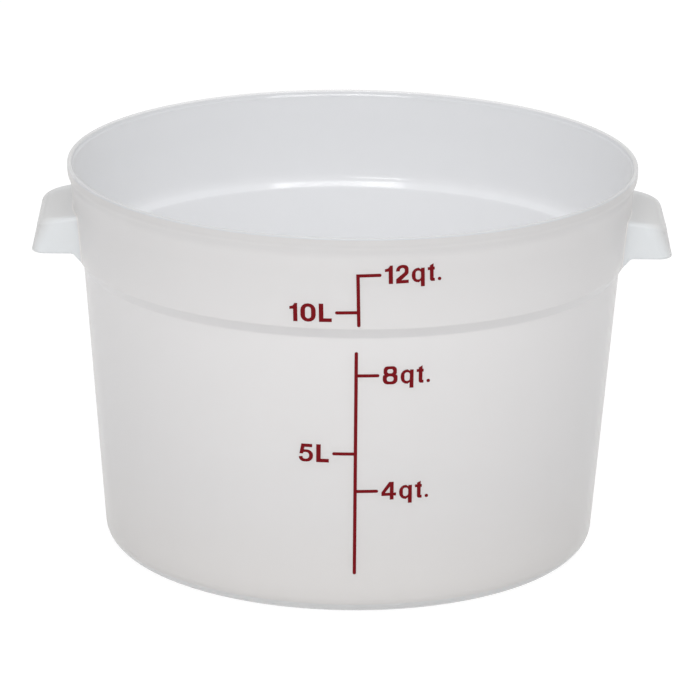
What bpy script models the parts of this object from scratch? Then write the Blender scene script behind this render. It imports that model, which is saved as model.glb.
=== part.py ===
"""Round food storage container with two hooded handles and a printed volume scale.

Units are metres and +Z is up. The origin is the middle of the base, on the surface that the tub stands on.
The printed scale faces -Y, and the handles reach out along +X and -X.
"""

from math import atan2, cos, hypot, pi, radians, sin, sqrt, tan

import bmesh
import bpy
from mathutils import Vector

MM = 0.001

# Tub, outside
RIM_RADIUS = 153.4 * MM
HEIGHT = 211.3 * MM
RIM_EDGE_ROUND = 0.9 * MM
RIM_FACE = 5.2 * MM
RIM_PROUD = 1.9 * MM
RIM_RUNOUT = 4.8 * MM
RIM_BLEND_ROUND = 4.0 * MM
COLLAR_HEIGHT = 49.6 * MM
COLLAR_TAPER = 3.2 * MM
SHOULDER_HEIGHT = 5.8 * MM
SHOULDER_STEP = 3.5 * MM
SHOULDER_EDGE_ROUND = 3.0 * MM
SHOULDER_CREASE_ROUND = 2.0 * MM
BASE_RADIUS = 132.6 * MM
FOOT_ROUND = 9.8 * MM

# Tub, wall and floor
WALL = 2.2 * MM
FLOOR = 2.6 * MM
BASE_RECESS = 0.8 * MM
STANDING_RING_WIDTH = 7.0 * MM
RECESS_SLOPE_WIDTH = 1.6 * MM

# Handles
HANDLE_OVERHANG = 17.7 * MM
HANDLE_LENGTH = 72.0 * MM
HANDLE_ROOT_DROP = 23.6 * MM
HANDLE_LIP_DROP = 44.0 * MM
HANDLE_TOP_FALL = 3.2 * MM
HANDLE_SKIRT_FLARE = 2.4 * MM
HANDLE_CORNER_ROUND = 9.0 * MM
HANDLE_CROWN_ROUND = 5.5 * MM
HANDLE_WALL = 2.2 * MM
GUSSET_REACH = 5.0 * MM
GUSSET_RUN = 7.2 * MM
GUSSET_DROP = 8.1 * MM

# Printed scale
INK = 0.25 * MM
INK_GAP = 0.3 * MM
LINE_WIDTH = 1.8 * MM
TICK_THICKNESS = 1.75 * MM
TICK_REACH = 12.0 * MM
LABEL_GAP = 1.7 * MM
DIGIT_HEIGHT = 10.0 * MM
UPPER_PRINT_ALONG = 2.2 * MM
LOWER_PRINT_ALONG = 2.1 * MM
UPPER_PRINT_TILT_DEGREES = 1.6
LOWER_PRINT_TILT_DEGREES = 0.25
UPPER_LINE_END_GAP = 1.2 * MM
LOWER_LINE_START_GAP = 7.6 * MM
LOWER_LINE_FOOT = 23.5 * MM

# How finely the round shapes are cut, and how far a cutter runs past what it cuts
TURN_STEPS = 80
ROUND_STEPS = 4
CORNER_SEGMENTS = 5
MERGE = 0.00001
OVERRUN = 6.0 * MM

# How much of a straight run one arc may take, where the run's other end is rounded too and where it isn't
SHARED_RUN_SHARE = 0.49
WHOLE_RUN_SHARE = 0.98

# Places that follow from the sizes above
SHOULDER_TOP = HEIGHT - COLLAR_HEIGHT
SHOULDER_BOTTOM = SHOULDER_TOP - SHOULDER_HEIGHT
COLLAR_TOP_RADIUS = RIM_RADIUS - RIM_PROUD
COLLAR_BOTTOM_RADIUS = COLLAR_TOP_RADIUS - COLLAR_TAPER
WALL_TOP_RADIUS = COLLAR_BOTTOM_RADIUS - SHOULDER_STEP
FLOOR_TOP = BASE_RECESS + FLOOR
RING_INNER_RADIUS = BASE_RADIUS - FOOT_ROUND - STANDING_RING_WIDTH

# Each print: how far round the wall its line stands, its tilt, and the stretch of wall it is set out on
PRINTS = {
    "upper": (UPPER_PRINT_ALONG, UPPER_PRINT_TILT_DEGREES, SHOULDER_TOP, COLLAR_HEIGHT),
    "lower": (LOWER_PRINT_ALONG, LOWER_PRINT_TILT_DEGREES, 0, SHOULDER_BOTTOM),
}

# The marks: name, words, side of the line that it stands on, and the print that it belongs to
MARKS = [
    ("12_quart", "12qt.", 1, "upper"),
    ("10_litre", "10L", -1, "upper"),
    ("8_quart", "8qt.", 1, "lower"),
    ("5_litre", "5L", -1, "lower"),
    ("4_quart", "4qt.", 1, "lower"),
]

# How far up its print's stretch of wall each mark stands. At the real size the tub holds, up to there, the
# volume that the mark's words say, within 2%.
MARK_HEIGHT_SHARES = {
    "12_quart": 0.588,
    "10_litre": 0.185,
    "8_quart": 0.867,
    "5_litre": 0.588,
    "4_quart": 0.453,
}

# Each character's outlines, in shares of a digit's height: corners as across, up and rounding.
# The first outline is the outer one, and the others are holes.
CHARACTER_SHARES = {
    "0": [
        [(0, 0, 0.37), (0.79, 0, 0.37), (0.79, 1, 0.37), (0, 1, 0.37)],
        [(0.24, 0.18, 0.15), (0.55, 0.18, 0.15), (0.55, 0.82, 0.15), (0.24, 0.82, 0.15)],
    ],
    "1": [
        [(0.19, 0, 0), (0.41, 0, 0), (0.41, 1, 0), (0.27, 1, 0), (0.17, 0.85, 0.1), (0, 0.81, 0),
         (0, 0.66, 0), (0.19, 0.68, 0)],
    ],
    "2": [
        [(0, 0, 0), (0.65, 0, 0), (0.65, 0.18, 0), (0.28, 0.18, 0), (0.65, 0.52, 0.15),
         (0.65, 1, 0.31), (0, 1, 0.31), (0, 0.66, 0), (0.2, 0.66, 0), (0.2, 0.83, 0.12),
         (0.45, 0.83, 0.12), (0.45, 0.61, 0.1), (0, 0.24, 0)],
    ],
    "4": [
        [(0.44, 0, 0), (0.64, 0, 0), (0.64, 0.22, 0), (0.77, 0.22, 0), (0.77, 0.39, 0),
         (0.64, 0.39, 0), (0.64, 1, 0), (0.40, 1, 0), (0, 0.42, 0), (0, 0.22, 0), (0.44, 0.22, 0)],
        [(0.44, 0.39, 0), (0.44, 0.73, 0), (0.19, 0.39, 0)],
    ],
    "5": [
        [(0.70, 1, 0), (0.13, 1, 0), (0.03, 0.44, 0), (0.21, 0.44, 0), (0.26, 0.53, 0),
         (0.54, 0.53, 0.16), (0.54, 0.16, 0.16), (0.21, 0.16, 0.1), (0.2, 0.3, 0), (0, 0.28, 0),
         (0, 0, 0.26), (0.75, 0, 0.34), (0.75, 0.68, 0.32), (0.27, 0.68, 0), (0.3, 0.82, 0),
         (0.70, 0.82, 0)],
    ],
    "8": [
        [(0, 0, 0.28), (0.77, 0, 0.28), (0.77, 0.52, 0.13), (0.67, 0.545, 0), (0.73, 0.59, 0.1),
         (0.73, 1, 0.25), (0.04, 1, 0.25), (0.04, 0.59, 0.1), (0.1, 0.545, 0), (0, 0.52, 0.13)],
        [(0.21, 0.16, 0.12), (0.56, 0.16, 0.12), (0.56, 0.44, 0.12), (0.21, 0.44, 0.12)],
        [(0.235, 0.61, 0.1), (0.535, 0.61, 0.1), (0.535, 0.84, 0.1), (0.235, 0.84, 0.1)],
    ],
    "L": [
        [(0, 0, 0), (0.66, 0, 0), (0.66, 0.2, 0), (0.235, 0.2, 0), (0.235, 1, 0), (0, 1, 0)],
    ],
    "q": [
        [(0.47, -0.24, 0), (0.68, -0.24, 0), (0.68, 0.77, 0), (0.49, 0.77, 0), (0.49, 0.7, 0),
         (0.36, 0.79, 0), (0, 0.79, 0.35), (0, -0.01, 0.35), (0.36, -0.01, 0), (0.47, 0.07, 0)],
        [(0.2, 0.15, 0.13), (0.48, 0.15, 0.13), (0.48, 0.63, 0.13), (0.2, 0.63, 0.13)],
    ],
    "t": [
        [(0.11, 0, 0.12), (0.37, 0, 0), (0.37, 0.16, 0), (0.31, 0.16, 0), (0.31, 0.61, 0),
         (0.37, 0.61, 0), (0.37, 0.77, 0), (0.31, 0.77, 0), (0.31, 0.96, 0), (0.11, 0.86, 0),
         (0.11, 0.77, 0), (0, 0.77, 0), (0, 0.61, 0), (0.11, 0.61, 0)],
    ],
    ".": [
        [(0, 0, 0.09), (0.19, 0, 0.09), (0.19, 0.19, 0.09), (0, 0.19, 0.09)],
    ],
}
CHARACTER_GAP_SHARE = 0.16
CHARACTER_NAMES = {"q": "letter_q", "t": "letter_t", "L": "letter_L", ".": "full_stop"}


def clear_scene():
    for old in list(bpy.data.objects):
        bpy.data.objects.remove(old)


def new_collection(name):
    collection = bpy.data.collections.new(name)
    bpy.context.scene.collection.children.link(collection)
    return collection


def new_material(name, color, roughness):
    material = bpy.data.materials.new(name)
    material.use_nodes = True
    shader = material.node_tree.nodes["Principled BSDF"]
    shader.inputs["Base Color"].default_value = (*color, 1.0)
    shader.inputs["Roughness"].default_value = roughness
    shader.inputs["Metallic"].default_value = 0.0
    return material


def add_object(name, data, collection, material=None):
    piece = bpy.data.objects.new(name, data)
    collection.objects.link(piece)
    if material:
        data.materials.append(material)
    return piece


def rounded(corners, closed=False):
    """Points along a chain of corners (across, up, rounding), with each rounded corner as an arc.

    An arc touches the two straight runs beside it. It takes at most half of a run whose other end
    is rounded too, and otherwise nearly all of it, so a run never turns back.
    """
    points = []
    count = len(corners)
    for i, (across, up, rounding) in enumerate(corners):
        if rounding == 0 or (not closed and i in (0, count - 1)):
            points.append((across, up))
            continue
        here = Vector((across, up))
        before = corners[i - 1]
        after = corners[(i + 1) % count]
        back = Vector(before[:2]) - here
        ahead = Vector(after[:2]) - here
        half_angle = back.angle(ahead) / 2
        room_back = back.length * (SHARED_RUN_SHARE if before[2] else WHOLE_RUN_SHARE)
        room_ahead = ahead.length * (SHARED_RUN_SHARE if after[2] else WHOLE_RUN_SHARE)
        reach = min(rounding / tan(half_angle), room_back, room_ahead)
        radius = reach * tan(half_angle)
        middle = here + (back.normalized() + ahead.normalized()).normalized() * hypot(reach, radius)
        start = here + back.normalized() * reach - middle
        end = here + ahead.normalized() * reach - middle
        start_angle = atan2(start.y, start.x)
        sweep = (atan2(end.y, end.x) - start_angle + pi) % (2 * pi) - pi
        for step in range(ROUND_STEPS + 1):
            angle = start_angle + sweep * step / ROUND_STEPS
            points.append((middle.x + radius * cos(angle), middle.y + radius * sin(angle)))
    return points


def outer_corners(inset=0.0):
    """The outside of the wall from under the rim bead down to the foot, moved in by inset."""
    return [
        (COLLAR_TOP_RADIUS - inset, HEIGHT - RIM_FACE - RIM_RUNOUT, RIM_BLEND_ROUND),
        (COLLAR_BOTTOM_RADIUS - inset, SHOULDER_TOP, SHOULDER_EDGE_ROUND),
        (WALL_TOP_RADIUS - inset, SHOULDER_BOTTOM, SHOULDER_CREASE_ROUND),
        (BASE_RADIUS - inset, 0, FOOT_ROUND),
    ]


def tub_profile():
    """The tub's section: out along the floor, up the inside, over the rim, down the outside."""
    shoulder_lean = atan2(SHOULDER_STEP, SHOULDER_HEIGHT)
    draft = atan2(WALL_TOP_RADIUS - BASE_RADIUS, SHOULDER_BOTTOM)
    inner_rise = WALL * tan((shoulder_lean + draft) / 2)
    floor_edge = BASE_RADIUS - WALL + FLOOR_TOP * tan(draft)
    collar_run = COLLAR_HEIGHT - RIM_FACE - RIM_RUNOUT
    rim_inner = COLLAR_BOTTOM_RADIUS - WALL + COLLAR_TAPER * COLLAR_HEIGHT / collar_run
    return rounded([
        (0, FLOOR_TOP, 0),
        (floor_edge, FLOOR_TOP, FOOT_ROUND - WALL),
        (WALL_TOP_RADIUS - WALL, SHOULDER_BOTTOM + inner_rise, SHOULDER_EDGE_ROUND),
        (COLLAR_BOTTOM_RADIUS - WALL, SHOULDER_TOP + inner_rise, SHOULDER_CREASE_ROUND),
        (rim_inner, HEIGHT, RIM_EDGE_ROUND),
        (RIM_RADIUS, HEIGHT, RIM_EDGE_ROUND),
        (RIM_RADIUS, HEIGHT - RIM_FACE, RIM_BLEND_ROUND),
        *outer_corners(),
        (RING_INNER_RADIUS, 0, 0),
        (RING_INNER_RADIUS - RECESS_SLOPE_WIDTH, BASE_RECESS, 0),
        (0, BASE_RECESS, 0),
    ])


TUB_PROFILE = tub_profile()
TOP_POINT = TUB_PROFILE.index(max(TUB_PROFILE, key=lambda point: point[1]))
OUTSIDE = TUB_PROFILE[TOP_POINT:]


def wall_radius(z):
    """The radius of the outside at a height, read down the section from the rim."""
    for (r0, z0), (r1, z1) in zip(OUTSIDE, OUTSIDE[1:]):
        if z0 != z1 and z1 <= z <= z0:
            return r0 + (r1 - r0) * (z - z0) / (z1 - z0)
    return RIM_RADIUS


def turned(name, points, collection, material=None):
    """A chain of edges in X and Z, turned about Z by a Screw modifier."""
    mesh = bpy.data.meshes.new(name)
    edges = [(i, i + 1) for i in range(len(points) - 1)]
    mesh.from_pydata([(r, 0, z) for r, z in points], edges, [])
    piece = add_object(name, mesh, collection, material)
    screw = piece.modifiers.new("turn", "SCREW")
    screw.steps = TURN_STEPS
    screw.render_steps = TURN_STEPS
    screw.use_merge_vertices = True
    screw.merge_threshold = MERGE
    return piece


def hood_outline():
    """A handle's side view, from the root's foot round by the lip and the crown to the root's top."""
    half = HANDLE_LENGTH / 2
    end_wall_x = sqrt(COLLAR_BOTTOM_RADIUS ** 2 - half ** 2)
    root_x = sqrt(WALL_TOP_RADIUS ** 2 - half ** 2) - OVERRUN
    gusset_x = end_wall_x + GUSSET_REACH
    tip_x = RIM_RADIUS + HANDLE_OVERHANG
    lip_z = HEIGHT - HANDLE_LIP_DROP
    crown_z = HEIGHT - HANDLE_ROOT_DROP - HANDLE_TOP_FALL
    top_slope = HANDLE_TOP_FALL / (tip_x - COLLAR_BOTTOM_RADIUS)
    crown_x = tip_x - HANDLE_SKIRT_FLARE
    return [
        (root_x, lip_z - (gusset_x - root_x) * GUSSET_DROP / GUSSET_RUN),
        (gusset_x, lip_z),
        (tip_x, lip_z),
        (crown_x, crown_z),
        (root_x, crown_z + (crown_x - root_x) * top_slope),
    ]


def hollow_outline():
    """The side view of the space under a handle, a wall in from the hood and open at the bottom."""
    foot, _, tip, crown, root_top = hood_outline()
    low_z = foot[1] - OVERRUN
    flare = (tip[0] - crown[0]) / (crown[1] - tip[1])
    low_x = tip[0] + (tip[1] - low_z) * flare
    return [
        (foot[0] - OVERRUN, low_z),
        (low_x - HANDLE_WALL, low_z),
        (crown[0] - HANDLE_WALL, crown[1] - HANDLE_WALL),
        (root_top[0] - OVERRUN, root_top[1] - HANDLE_WALL),
    ]


def hood_block(name, outline, half_length, corner_round, crown_round, side, collection):
    """A side view drawn out along Y, with its outer corners, crown and top end edges rounded."""
    form = bmesh.new()
    near = [form.verts.new((side * x, -half_length, z)) for x, z in outline]
    far = [form.verts.new((side * x, half_length, z)) for x, z in outline]
    form.faces.new(near)
    form.faces.new(far)
    for i in range(len(outline)):
        form.faces.new((near[i - 1], near[i], far[i], far[i - 1]))
    bmesh.ops.recalc_face_normals(form, faces=form.faces)
    weight = form.edges.layers.float.new("bevel_weight_edge")
    crown_weight = crown_round / corner_round
    for tip, crown, root_top in (near[-3:], far[-3:]):
        form.edges.get((tip, crown))[weight] = 1.0
        form.edges.get((crown, root_top))[weight] = crown_weight
    form.edges.get((near[-2], far[-2]))[weight] = crown_weight
    mesh = bpy.data.meshes.new(name)
    form.to_mesh(mesh)
    form.free()
    piece = add_object(name, mesh, collection)
    bevel = piece.modifiers.new("rounded edges", "BEVEL")
    bevel.limit_method = "WEIGHT"
    bevel.width = corner_round
    bevel.segments = CORNER_SEGMENTS
    return piece


def boolean(piece, other, operation):
    modifier = piece.modifiers.new(other.name, "BOOLEAN")
    modifier.operation = operation
    modifier.solver = "EXACT"
    modifier.object = other
    other.hide_render = True
    other.display_type = "WIRE"


def make_tub(collection, cutters, material):
    """The turned tub, with both handles joined to its collar.

    The core is the tub's outside moved in by half a wall. It trims each hood in the middle of the
    wall, so the hood overlaps the wall and doesn't reach the inside.
    """
    tub = turned("tub", TUB_PROFILE, collection, material)
    core_outside = [(0, HEIGHT, 0), (COLLAR_TOP_RADIUS - WALL / 2, HEIGHT, 0), *outer_corners(WALL / 2)]
    core = turned("wall_core", rounded([*core_outside, (0, 0, 0)]), cutters)
    half = HANDLE_LENGTH / 2
    inner_corner = HANDLE_CORNER_ROUND - HANDLE_WALL
    inner_crown = HANDLE_CROWN_ROUND - HANDLE_WALL
    for side, word in ((1, "right"), (-1, "left")):
        hood = hood_block("hood_" + word, hood_outline(), half, HANDLE_CORNER_ROUND,
                          HANDLE_CROWN_ROUND, side, cutters)
        hollow = hood_block("hollow_" + word, hollow_outline(), half - HANDLE_WALL, inner_corner,
                            inner_crown, side, cutters)
        boolean(hood, hollow, "DIFFERENCE")
        boolean(hood, core, "DIFFERENCE")
        boolean(tub, hood, "UNION")
    return tub


def on_wall(across, z, depth):
    """The point that lies across along the wall from its front line, at a height, depth off it."""
    radius = wall_radius(z)
    angle = across / radius
    return Vector(((radius + depth) * sin(angle), -(radius + depth) * cos(angle), z))


def tilted(across, z, row):
    """A point of a print, turned by its tilt about its middle and moved to its place round the wall."""
    along, tilt_degrees, foot, rise = PRINTS[row]
    middle = foot + rise / 2
    turn = radians(tilt_degrees)
    up = z - middle
    return along + across * cos(turn) - up * sin(turn), middle + across * sin(turn) + up * cos(turn)


def print_mark(name, outlines, row, collection, material):
    """Flat outlines (across from the line, z), filled as a 2D curve, then bent on to the wall as ink."""
    curve = bpy.data.curves.new(name, "CURVE")
    curve.dimensions = "2D"
    curve.fill_mode = "BOTH"
    curve.extrude = INK / 2
    for outline in outlines:
        spline = curve.splines.new("POLY")
        spline.points.add(len(outline) - 1)
        for point, (across, z) in zip(spline.points, outline):
            point.co = (*tilted(across, z, row), 0, 1)
        spline.use_cyclic_u = True
    flat = bpy.data.objects.new(name + "_flat", curve)
    bpy.context.scene.collection.objects.link(flat)
    bpy.context.view_layer.update()
    mesh = bpy.data.meshes.new_from_object(flat.evaluated_get(bpy.context.evaluated_depsgraph_get()))
    bpy.data.objects.remove(flat)
    form = bmesh.new()
    form.from_mesh(mesh)
    bmesh.ops.remove_doubles(form, verts=form.verts, dist=MERGE)
    for vertex in form.verts:
        across, z, depth = vertex.co
        vertex.co = on_wall(across, z, INK_GAP + INK / 2 + depth)
    form.to_mesh(mesh)
    form.free()
    mesh.name = name
    mesh.materials.clear()
    return add_object(name, mesh, collection, material)


def label_width(words):
    """The length of a line of characters, in shares of a digit's height."""
    widths = [max(corner[0] for corner in CHARACTER_SHARES[c][0]) for c in words]
    return sum(widths) + CHARACTER_GAP_SHARE * (len(words) - 1)


def make_label(name, words, left, centre_z, row, collection, material):
    """One ink mark for each character, from a left end, with the digits centred on a height."""
    across = left
    foot_z = centre_z - DIGIT_HEIGHT / 2
    for character in words:
        outlines = [
            [(across + x * DIGIT_HEIGHT, foot_z + y * DIGIT_HEIGHT) for x, y in rounded(outline, True)]
            for outline in CHARACTER_SHARES[character]
        ]
        word = CHARACTER_NAMES.get(character, "figure_" + character)
        print_mark(f"label_{name}_{word}", outlines, row, collection, material)
        across += (label_width(character) + CHARACTER_GAP_SHARE) * DIGIT_HEIGHT


def make_scale(collection, material):
    """Both printed lines, and a tick and a label for each volume."""
    heights = {}
    for name, _, _, row in MARKS:
        _, _, foot, rise = PRINTS[row]
        heights[name] = foot + rise * MARK_HEIGHT_SHARES[name]
    half_line = LINE_WIDTH / 2
    half_tick = TICK_THICKNESS / 2
    spans = {
        "upper": (SHOULDER_TOP + UPPER_LINE_END_GAP, heights["12_quart"] + half_tick, 0),
        "lower": (LOWER_LINE_FOOT, SHOULDER_BOTTOM - LOWER_LINE_START_GAP, half_line),
    }
    for row, (low, high, top_round) in spans.items():
        corners = [(-half_line, low, half_line), (half_line, low, half_line),
                   (half_line, high, top_round), (-half_line, high, top_round)]
        print_mark("scale_line_" + row, [rounded(corners, True)], row, collection, material)
    for name, words, side, row in MARKS:
        root = side * (half_line + INK_GAP)
        tip = side * TICK_REACH
        low = heights[name] - half_tick
        high = heights[name] + half_tick
        corners = [(root, low, 0), (tip, low, half_tick), (tip, high, half_tick), (root, high, 0)]
        print_mark("tick_" + name, [rounded(corners, True)], row, collection, material)
        left = tip + side * LABEL_GAP
        if side < 0:
            left -= label_width(words) * DIGIT_HEIGHT
        make_label(name, words, left, heights[name], row, collection, material)


def main():
    clear_scene()
    container = new_collection("food_storage_container")
    cutters = new_collection("cutters")
    frosted = new_material("frosted_polypropylene", (0.80, 0.81, 0.82), 0.42)
    ink = new_material("scale_ink", (0.21, 0.012, 0.02), 0.5)
    make_tub(container, cutters, frosted)
    make_scale(container, ink)


main()
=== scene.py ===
# %% [markdown]
# # A round food storage tub in frosted polypropylene
#
# This lesson dresses one moulding and its print. The moulding is a round tub with a wider collar, a bead
# round its rim and a hooded handle on each side. It is natural polypropylene, so its wall is milky: light
# goes through it, but a picture doesn't. The print is a volume scale in dark red ink.
#
# The cells below read the tub's height, its width over the handles and the marks of the scale from it,
# and name the other sizes again. What they add is the smooth surface, the soft edges and the finish.

import bmesh
import bpy
import numpy as np
from mathutils import Matrix, Vector


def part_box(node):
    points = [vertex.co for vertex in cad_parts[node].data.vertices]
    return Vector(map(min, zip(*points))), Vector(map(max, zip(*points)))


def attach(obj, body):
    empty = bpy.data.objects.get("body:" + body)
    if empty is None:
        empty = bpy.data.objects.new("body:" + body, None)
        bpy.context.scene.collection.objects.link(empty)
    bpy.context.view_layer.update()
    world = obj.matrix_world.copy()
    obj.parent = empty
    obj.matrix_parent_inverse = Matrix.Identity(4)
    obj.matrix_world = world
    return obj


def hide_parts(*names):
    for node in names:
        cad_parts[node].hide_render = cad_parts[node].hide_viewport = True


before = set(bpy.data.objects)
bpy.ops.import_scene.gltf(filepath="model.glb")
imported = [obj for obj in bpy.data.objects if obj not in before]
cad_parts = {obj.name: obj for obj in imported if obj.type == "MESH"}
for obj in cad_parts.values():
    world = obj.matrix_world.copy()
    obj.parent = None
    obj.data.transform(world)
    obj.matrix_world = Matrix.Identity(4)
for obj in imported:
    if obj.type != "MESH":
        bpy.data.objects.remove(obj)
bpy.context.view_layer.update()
MM = 0.001
HIGH_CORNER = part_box("tub")[1]
HEIGHT = HIGH_CORNER.z
TIP_X = HIGH_CORNER.x
print(f"tub: {HEIGHT / MM:.1f} mm high, {2 * TIP_X / MM:.1f} mm over the handles")

# %% [markdown]
# ## The camera
#
# The photograph was taken from far away with a long lens, so the tub shows almost no perspective. The
# camera looks down a little, just enough to see over the near rim and on to the far wall. It stands
# slightly to the left of the scale, and it leans by less than a degree.
#
# A camera can be placed by eye. Here its place, its lean and its lens were found together from the tub's
# outline, because with a long lens the eye can't tell a nearer camera from a longer lens.

# %% The camera
CAMERA_DISTANCE = 2450.0 * MM
CAMERA_ELEVATION = np.radians(17.54)
CAMERA_AZIMUTH = np.radians(-0.5)
CAMERA_LEAN = 0.0125
CAMERA_TARGET = Vector((-0.2 * MM, 0, 103.81 * MM))
SENSOR_WIDTH = 36.0
FOCAL_LENGTH = 231.1

camera = bpy.data.objects.new("camera", bpy.data.cameras.new("camera"))
bpy.context.scene.collection.objects.link(camera)
camera.data.sensor_width = SENSOR_WIDTH
camera.data.lens = FOCAL_LENGTH
away = Vector((
    np.cos(CAMERA_ELEVATION) * np.sin(CAMERA_AZIMUTH),
    -np.cos(CAMERA_ELEVATION) * np.cos(CAMERA_AZIMUTH),
    np.sin(CAMERA_ELEVATION),
))
camera.matrix_world = (
    Matrix.Translation(CAMERA_TARGET + away * CAMERA_DISTANCE)
    @ away.to_track_quat("Z", "Y").to_matrix().to_4x4()
    @ Matrix.Rotation(CAMERA_LEAN, 4, "Z")
)
bpy.context.scene.camera = camera
print(f"camera: {CAMERA_DISTANCE:.2f} m away, with a lens of {FOCAL_LENGTH:.0f} mm")

# %% [markdown]
# ## A chain with rounded corners
#
# A moulding has no sharp corners, because a mould is cut with round tools and the plastic must flow. A
# Bevel modifier could round them afterwards, but it gives every corner the same width unless each is
# weighted by hand. So every outline here is a list of corners, each with its own rounding, and the sums
# are done for all corners at once.

# %% A chain of corners as points
ARC_POINTS = 9
LEAST_ROUNDING = 0.001 * MM


def rounded(corners):
    """The points of a chain of (across, up, rounding) corners, with an arc at each inner corner.

    An arc that touches both runs of a corner starts at reach = rounding / tan(half the angle) from it. Its
    centre lies on the line that halves the angle, at hypot(reach, rounding) from the corner. Its directions
    turn evenly from one touching point to the other.
    """
    table = np.array(corners, float)
    points = table[:, :2]
    rounding = np.maximum(table[1:-1, 2], LEAST_ROUNDING)
    here = points[1:-1]
    back = points[:-2] - here
    ahead = points[2:] - here
    back /= np.linalg.norm(back, axis=1, keepdims=True)
    ahead /= np.linalg.norm(ahead, axis=1, keepdims=True)
    half = np.arccos(np.clip((back * ahead).sum(axis=1), -1, 1)) / 2
    reach = rounding / np.tan(half)
    inwards = (back + ahead) / np.linalg.norm(back + ahead, axis=1, keepdims=True)
    middle = here + inwards * np.hypot(reach, rounding)[:, None]
    start = here + back * reach[:, None] - middle
    end = here + ahead * reach[:, None] - middle
    first = np.arctan2(start[:, 1], start[:, 0])
    sweep = (np.arctan2(end[:, 1], end[:, 0]) - first + np.pi) % (2 * np.pi) - np.pi
    angle = first[:, None] + sweep[:, None] * np.linspace(0, 1, ARC_POINTS)
    around = np.stack([np.cos(angle), np.sin(angle)], axis=-1)
    arcs = middle[:, None, :] + rounding[:, None, None] * around
    return np.vstack([points[:1], arcs.reshape(-1, 2), points[-1:]])


print(f"an arc has {ARC_POINTS} points")

# %% [markdown]
# ## The tub's sizes
#
# Cut in half, the tub shows one wall of even thickness. From the floor it leans out by a few degrees, so
# that the moulding leaves its mould and the tubs nest. Near the top it steps out over a sloping shoulder,
# on which the next tub rests when they are stacked. Above the shoulder is the collar, and round the top
# runs a bead that stiffens the mouth and holds a lid. Underneath, the tub stands on a ring, with the
# middle of its floor a little higher.
#
# The sizes that can be set by themselves come first, and the rest is worked out from them. That keeps the
# wall's thickness the same when a radius or a height changes.

# %% The sizes of the wall
RIM_RADIUS = 153.4 * MM
BEAD_FACE = 5.2 * MM
BEAD_PROUD = 1.9 * MM
BEAD_RUNOUT = 4.8 * MM
COLLAR_HEIGHT = 49.6 * MM
COLLAR_TAPER = 3.2 * MM
SHOULDER_HEIGHT = 5.8 * MM
SHOULDER_STEP = 3.5 * MM
BASE_RADIUS = 132.6 * MM
WALL = 2.2 * MM
FLOOR_TOP = 3.4 * MM
RECESS_DEPTH = 0.8 * MM
RECESS_SLOPE = 1.6 * MM
STANDING_RING_INSIDE = 115.8 * MM

BEAD_FACE_BOTTOM = HEIGHT - BEAD_FACE
BEAD_BOTTOM = BEAD_FACE_BOTTOM - BEAD_RUNOUT
SHOULDER_TOP = HEIGHT - COLLAR_HEIGHT
SHOULDER_BOTTOM = SHOULDER_TOP - SHOULDER_HEIGHT
COLLAR_TOP_RADIUS = RIM_RADIUS - BEAD_PROUD
COLLAR_BOTTOM_RADIUS = COLLAR_TOP_RADIUS - COLLAR_TAPER
WALL_TOP_RADIUS = COLLAR_BOTTOM_RADIUS - SHOULDER_STEP
DRAFT = np.arctan2(WALL_TOP_RADIUS - BASE_RADIUS, SHOULDER_BOTTOM)
print(f"shoulder: {SHOULDER_BOTTOM / MM:.1f} to {SHOULDER_TOP / MM:.1f} mm up")
print(f"wall: leans by {np.degrees(DRAFT):.1f} degrees")

# %% [markdown]
# ## The inside of the section
#
# Two small slopes on the inside matter more than their size. The inner side of the shoulder and a narrow
# chamfer inside the bead both lean back by about 32 degrees, which turns them to the same lamp. Each
# catches it as a thin bright line, and those two lines are what tells the eye that the tub is hollow.
# They could be painted on as pale lines, but real slopes also shine from other sides. The lower part of the
# inner slope also gets a painted highlight, a paler grey in the inside's tones, so that its line stays
# visible towards the left and the right.

# %% The chain from the middle of the floor to the crest of the rim
CHAMFER_FALL = 3.0 * MM
CHAMFER_WIDTH = 0.60 * MM
CHAMFER_HEIGHT = 0.98 * MM
CREST_RUN = 2.2 * MM
RIM_THINNER = 0.2 * MM
INNER_SLOPE_LOWER = 0.9 * MM
INNER_SLOPE_THICKER = 0.4 * MM
FLOOR_ROUND = 7.6 * MM
INNER_SLOPE_FOOT_ROUND = 2.0 * MM
INNER_SLOPE_TOP_ROUND = 11.0 * MM
CHAMFER_ROUND = 0.25 * MM
CREST_ROUND = 1.0 * MM
BEAD_TOP_ROUND = 0.7 * MM

INNER_RISE = WALL * np.tan((np.arctan2(SHOULDER_STEP, SHOULDER_HEIGHT) + DRAFT) / 2)
COLLAR_RUN = COLLAR_HEIGHT - BEAD_FACE - BEAD_RUNOUT
MOUTH_RADIUS = COLLAR_BOTTOM_RADIUS - WALL + RIM_THINNER + COLLAR_TAPER * COLLAR_HEIGHT / COLLAR_RUN
SLOPE_TOP_RADIUS = COLLAR_BOTTOM_RADIUS - WALL - INNER_SLOPE_THICKER
SLOPE_TOP = SHOULDER_TOP + INNER_RISE - INNER_SLOPE_LOWER
CHAMFER_BOTTOM = HEIGHT - CHAMFER_FALL

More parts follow.
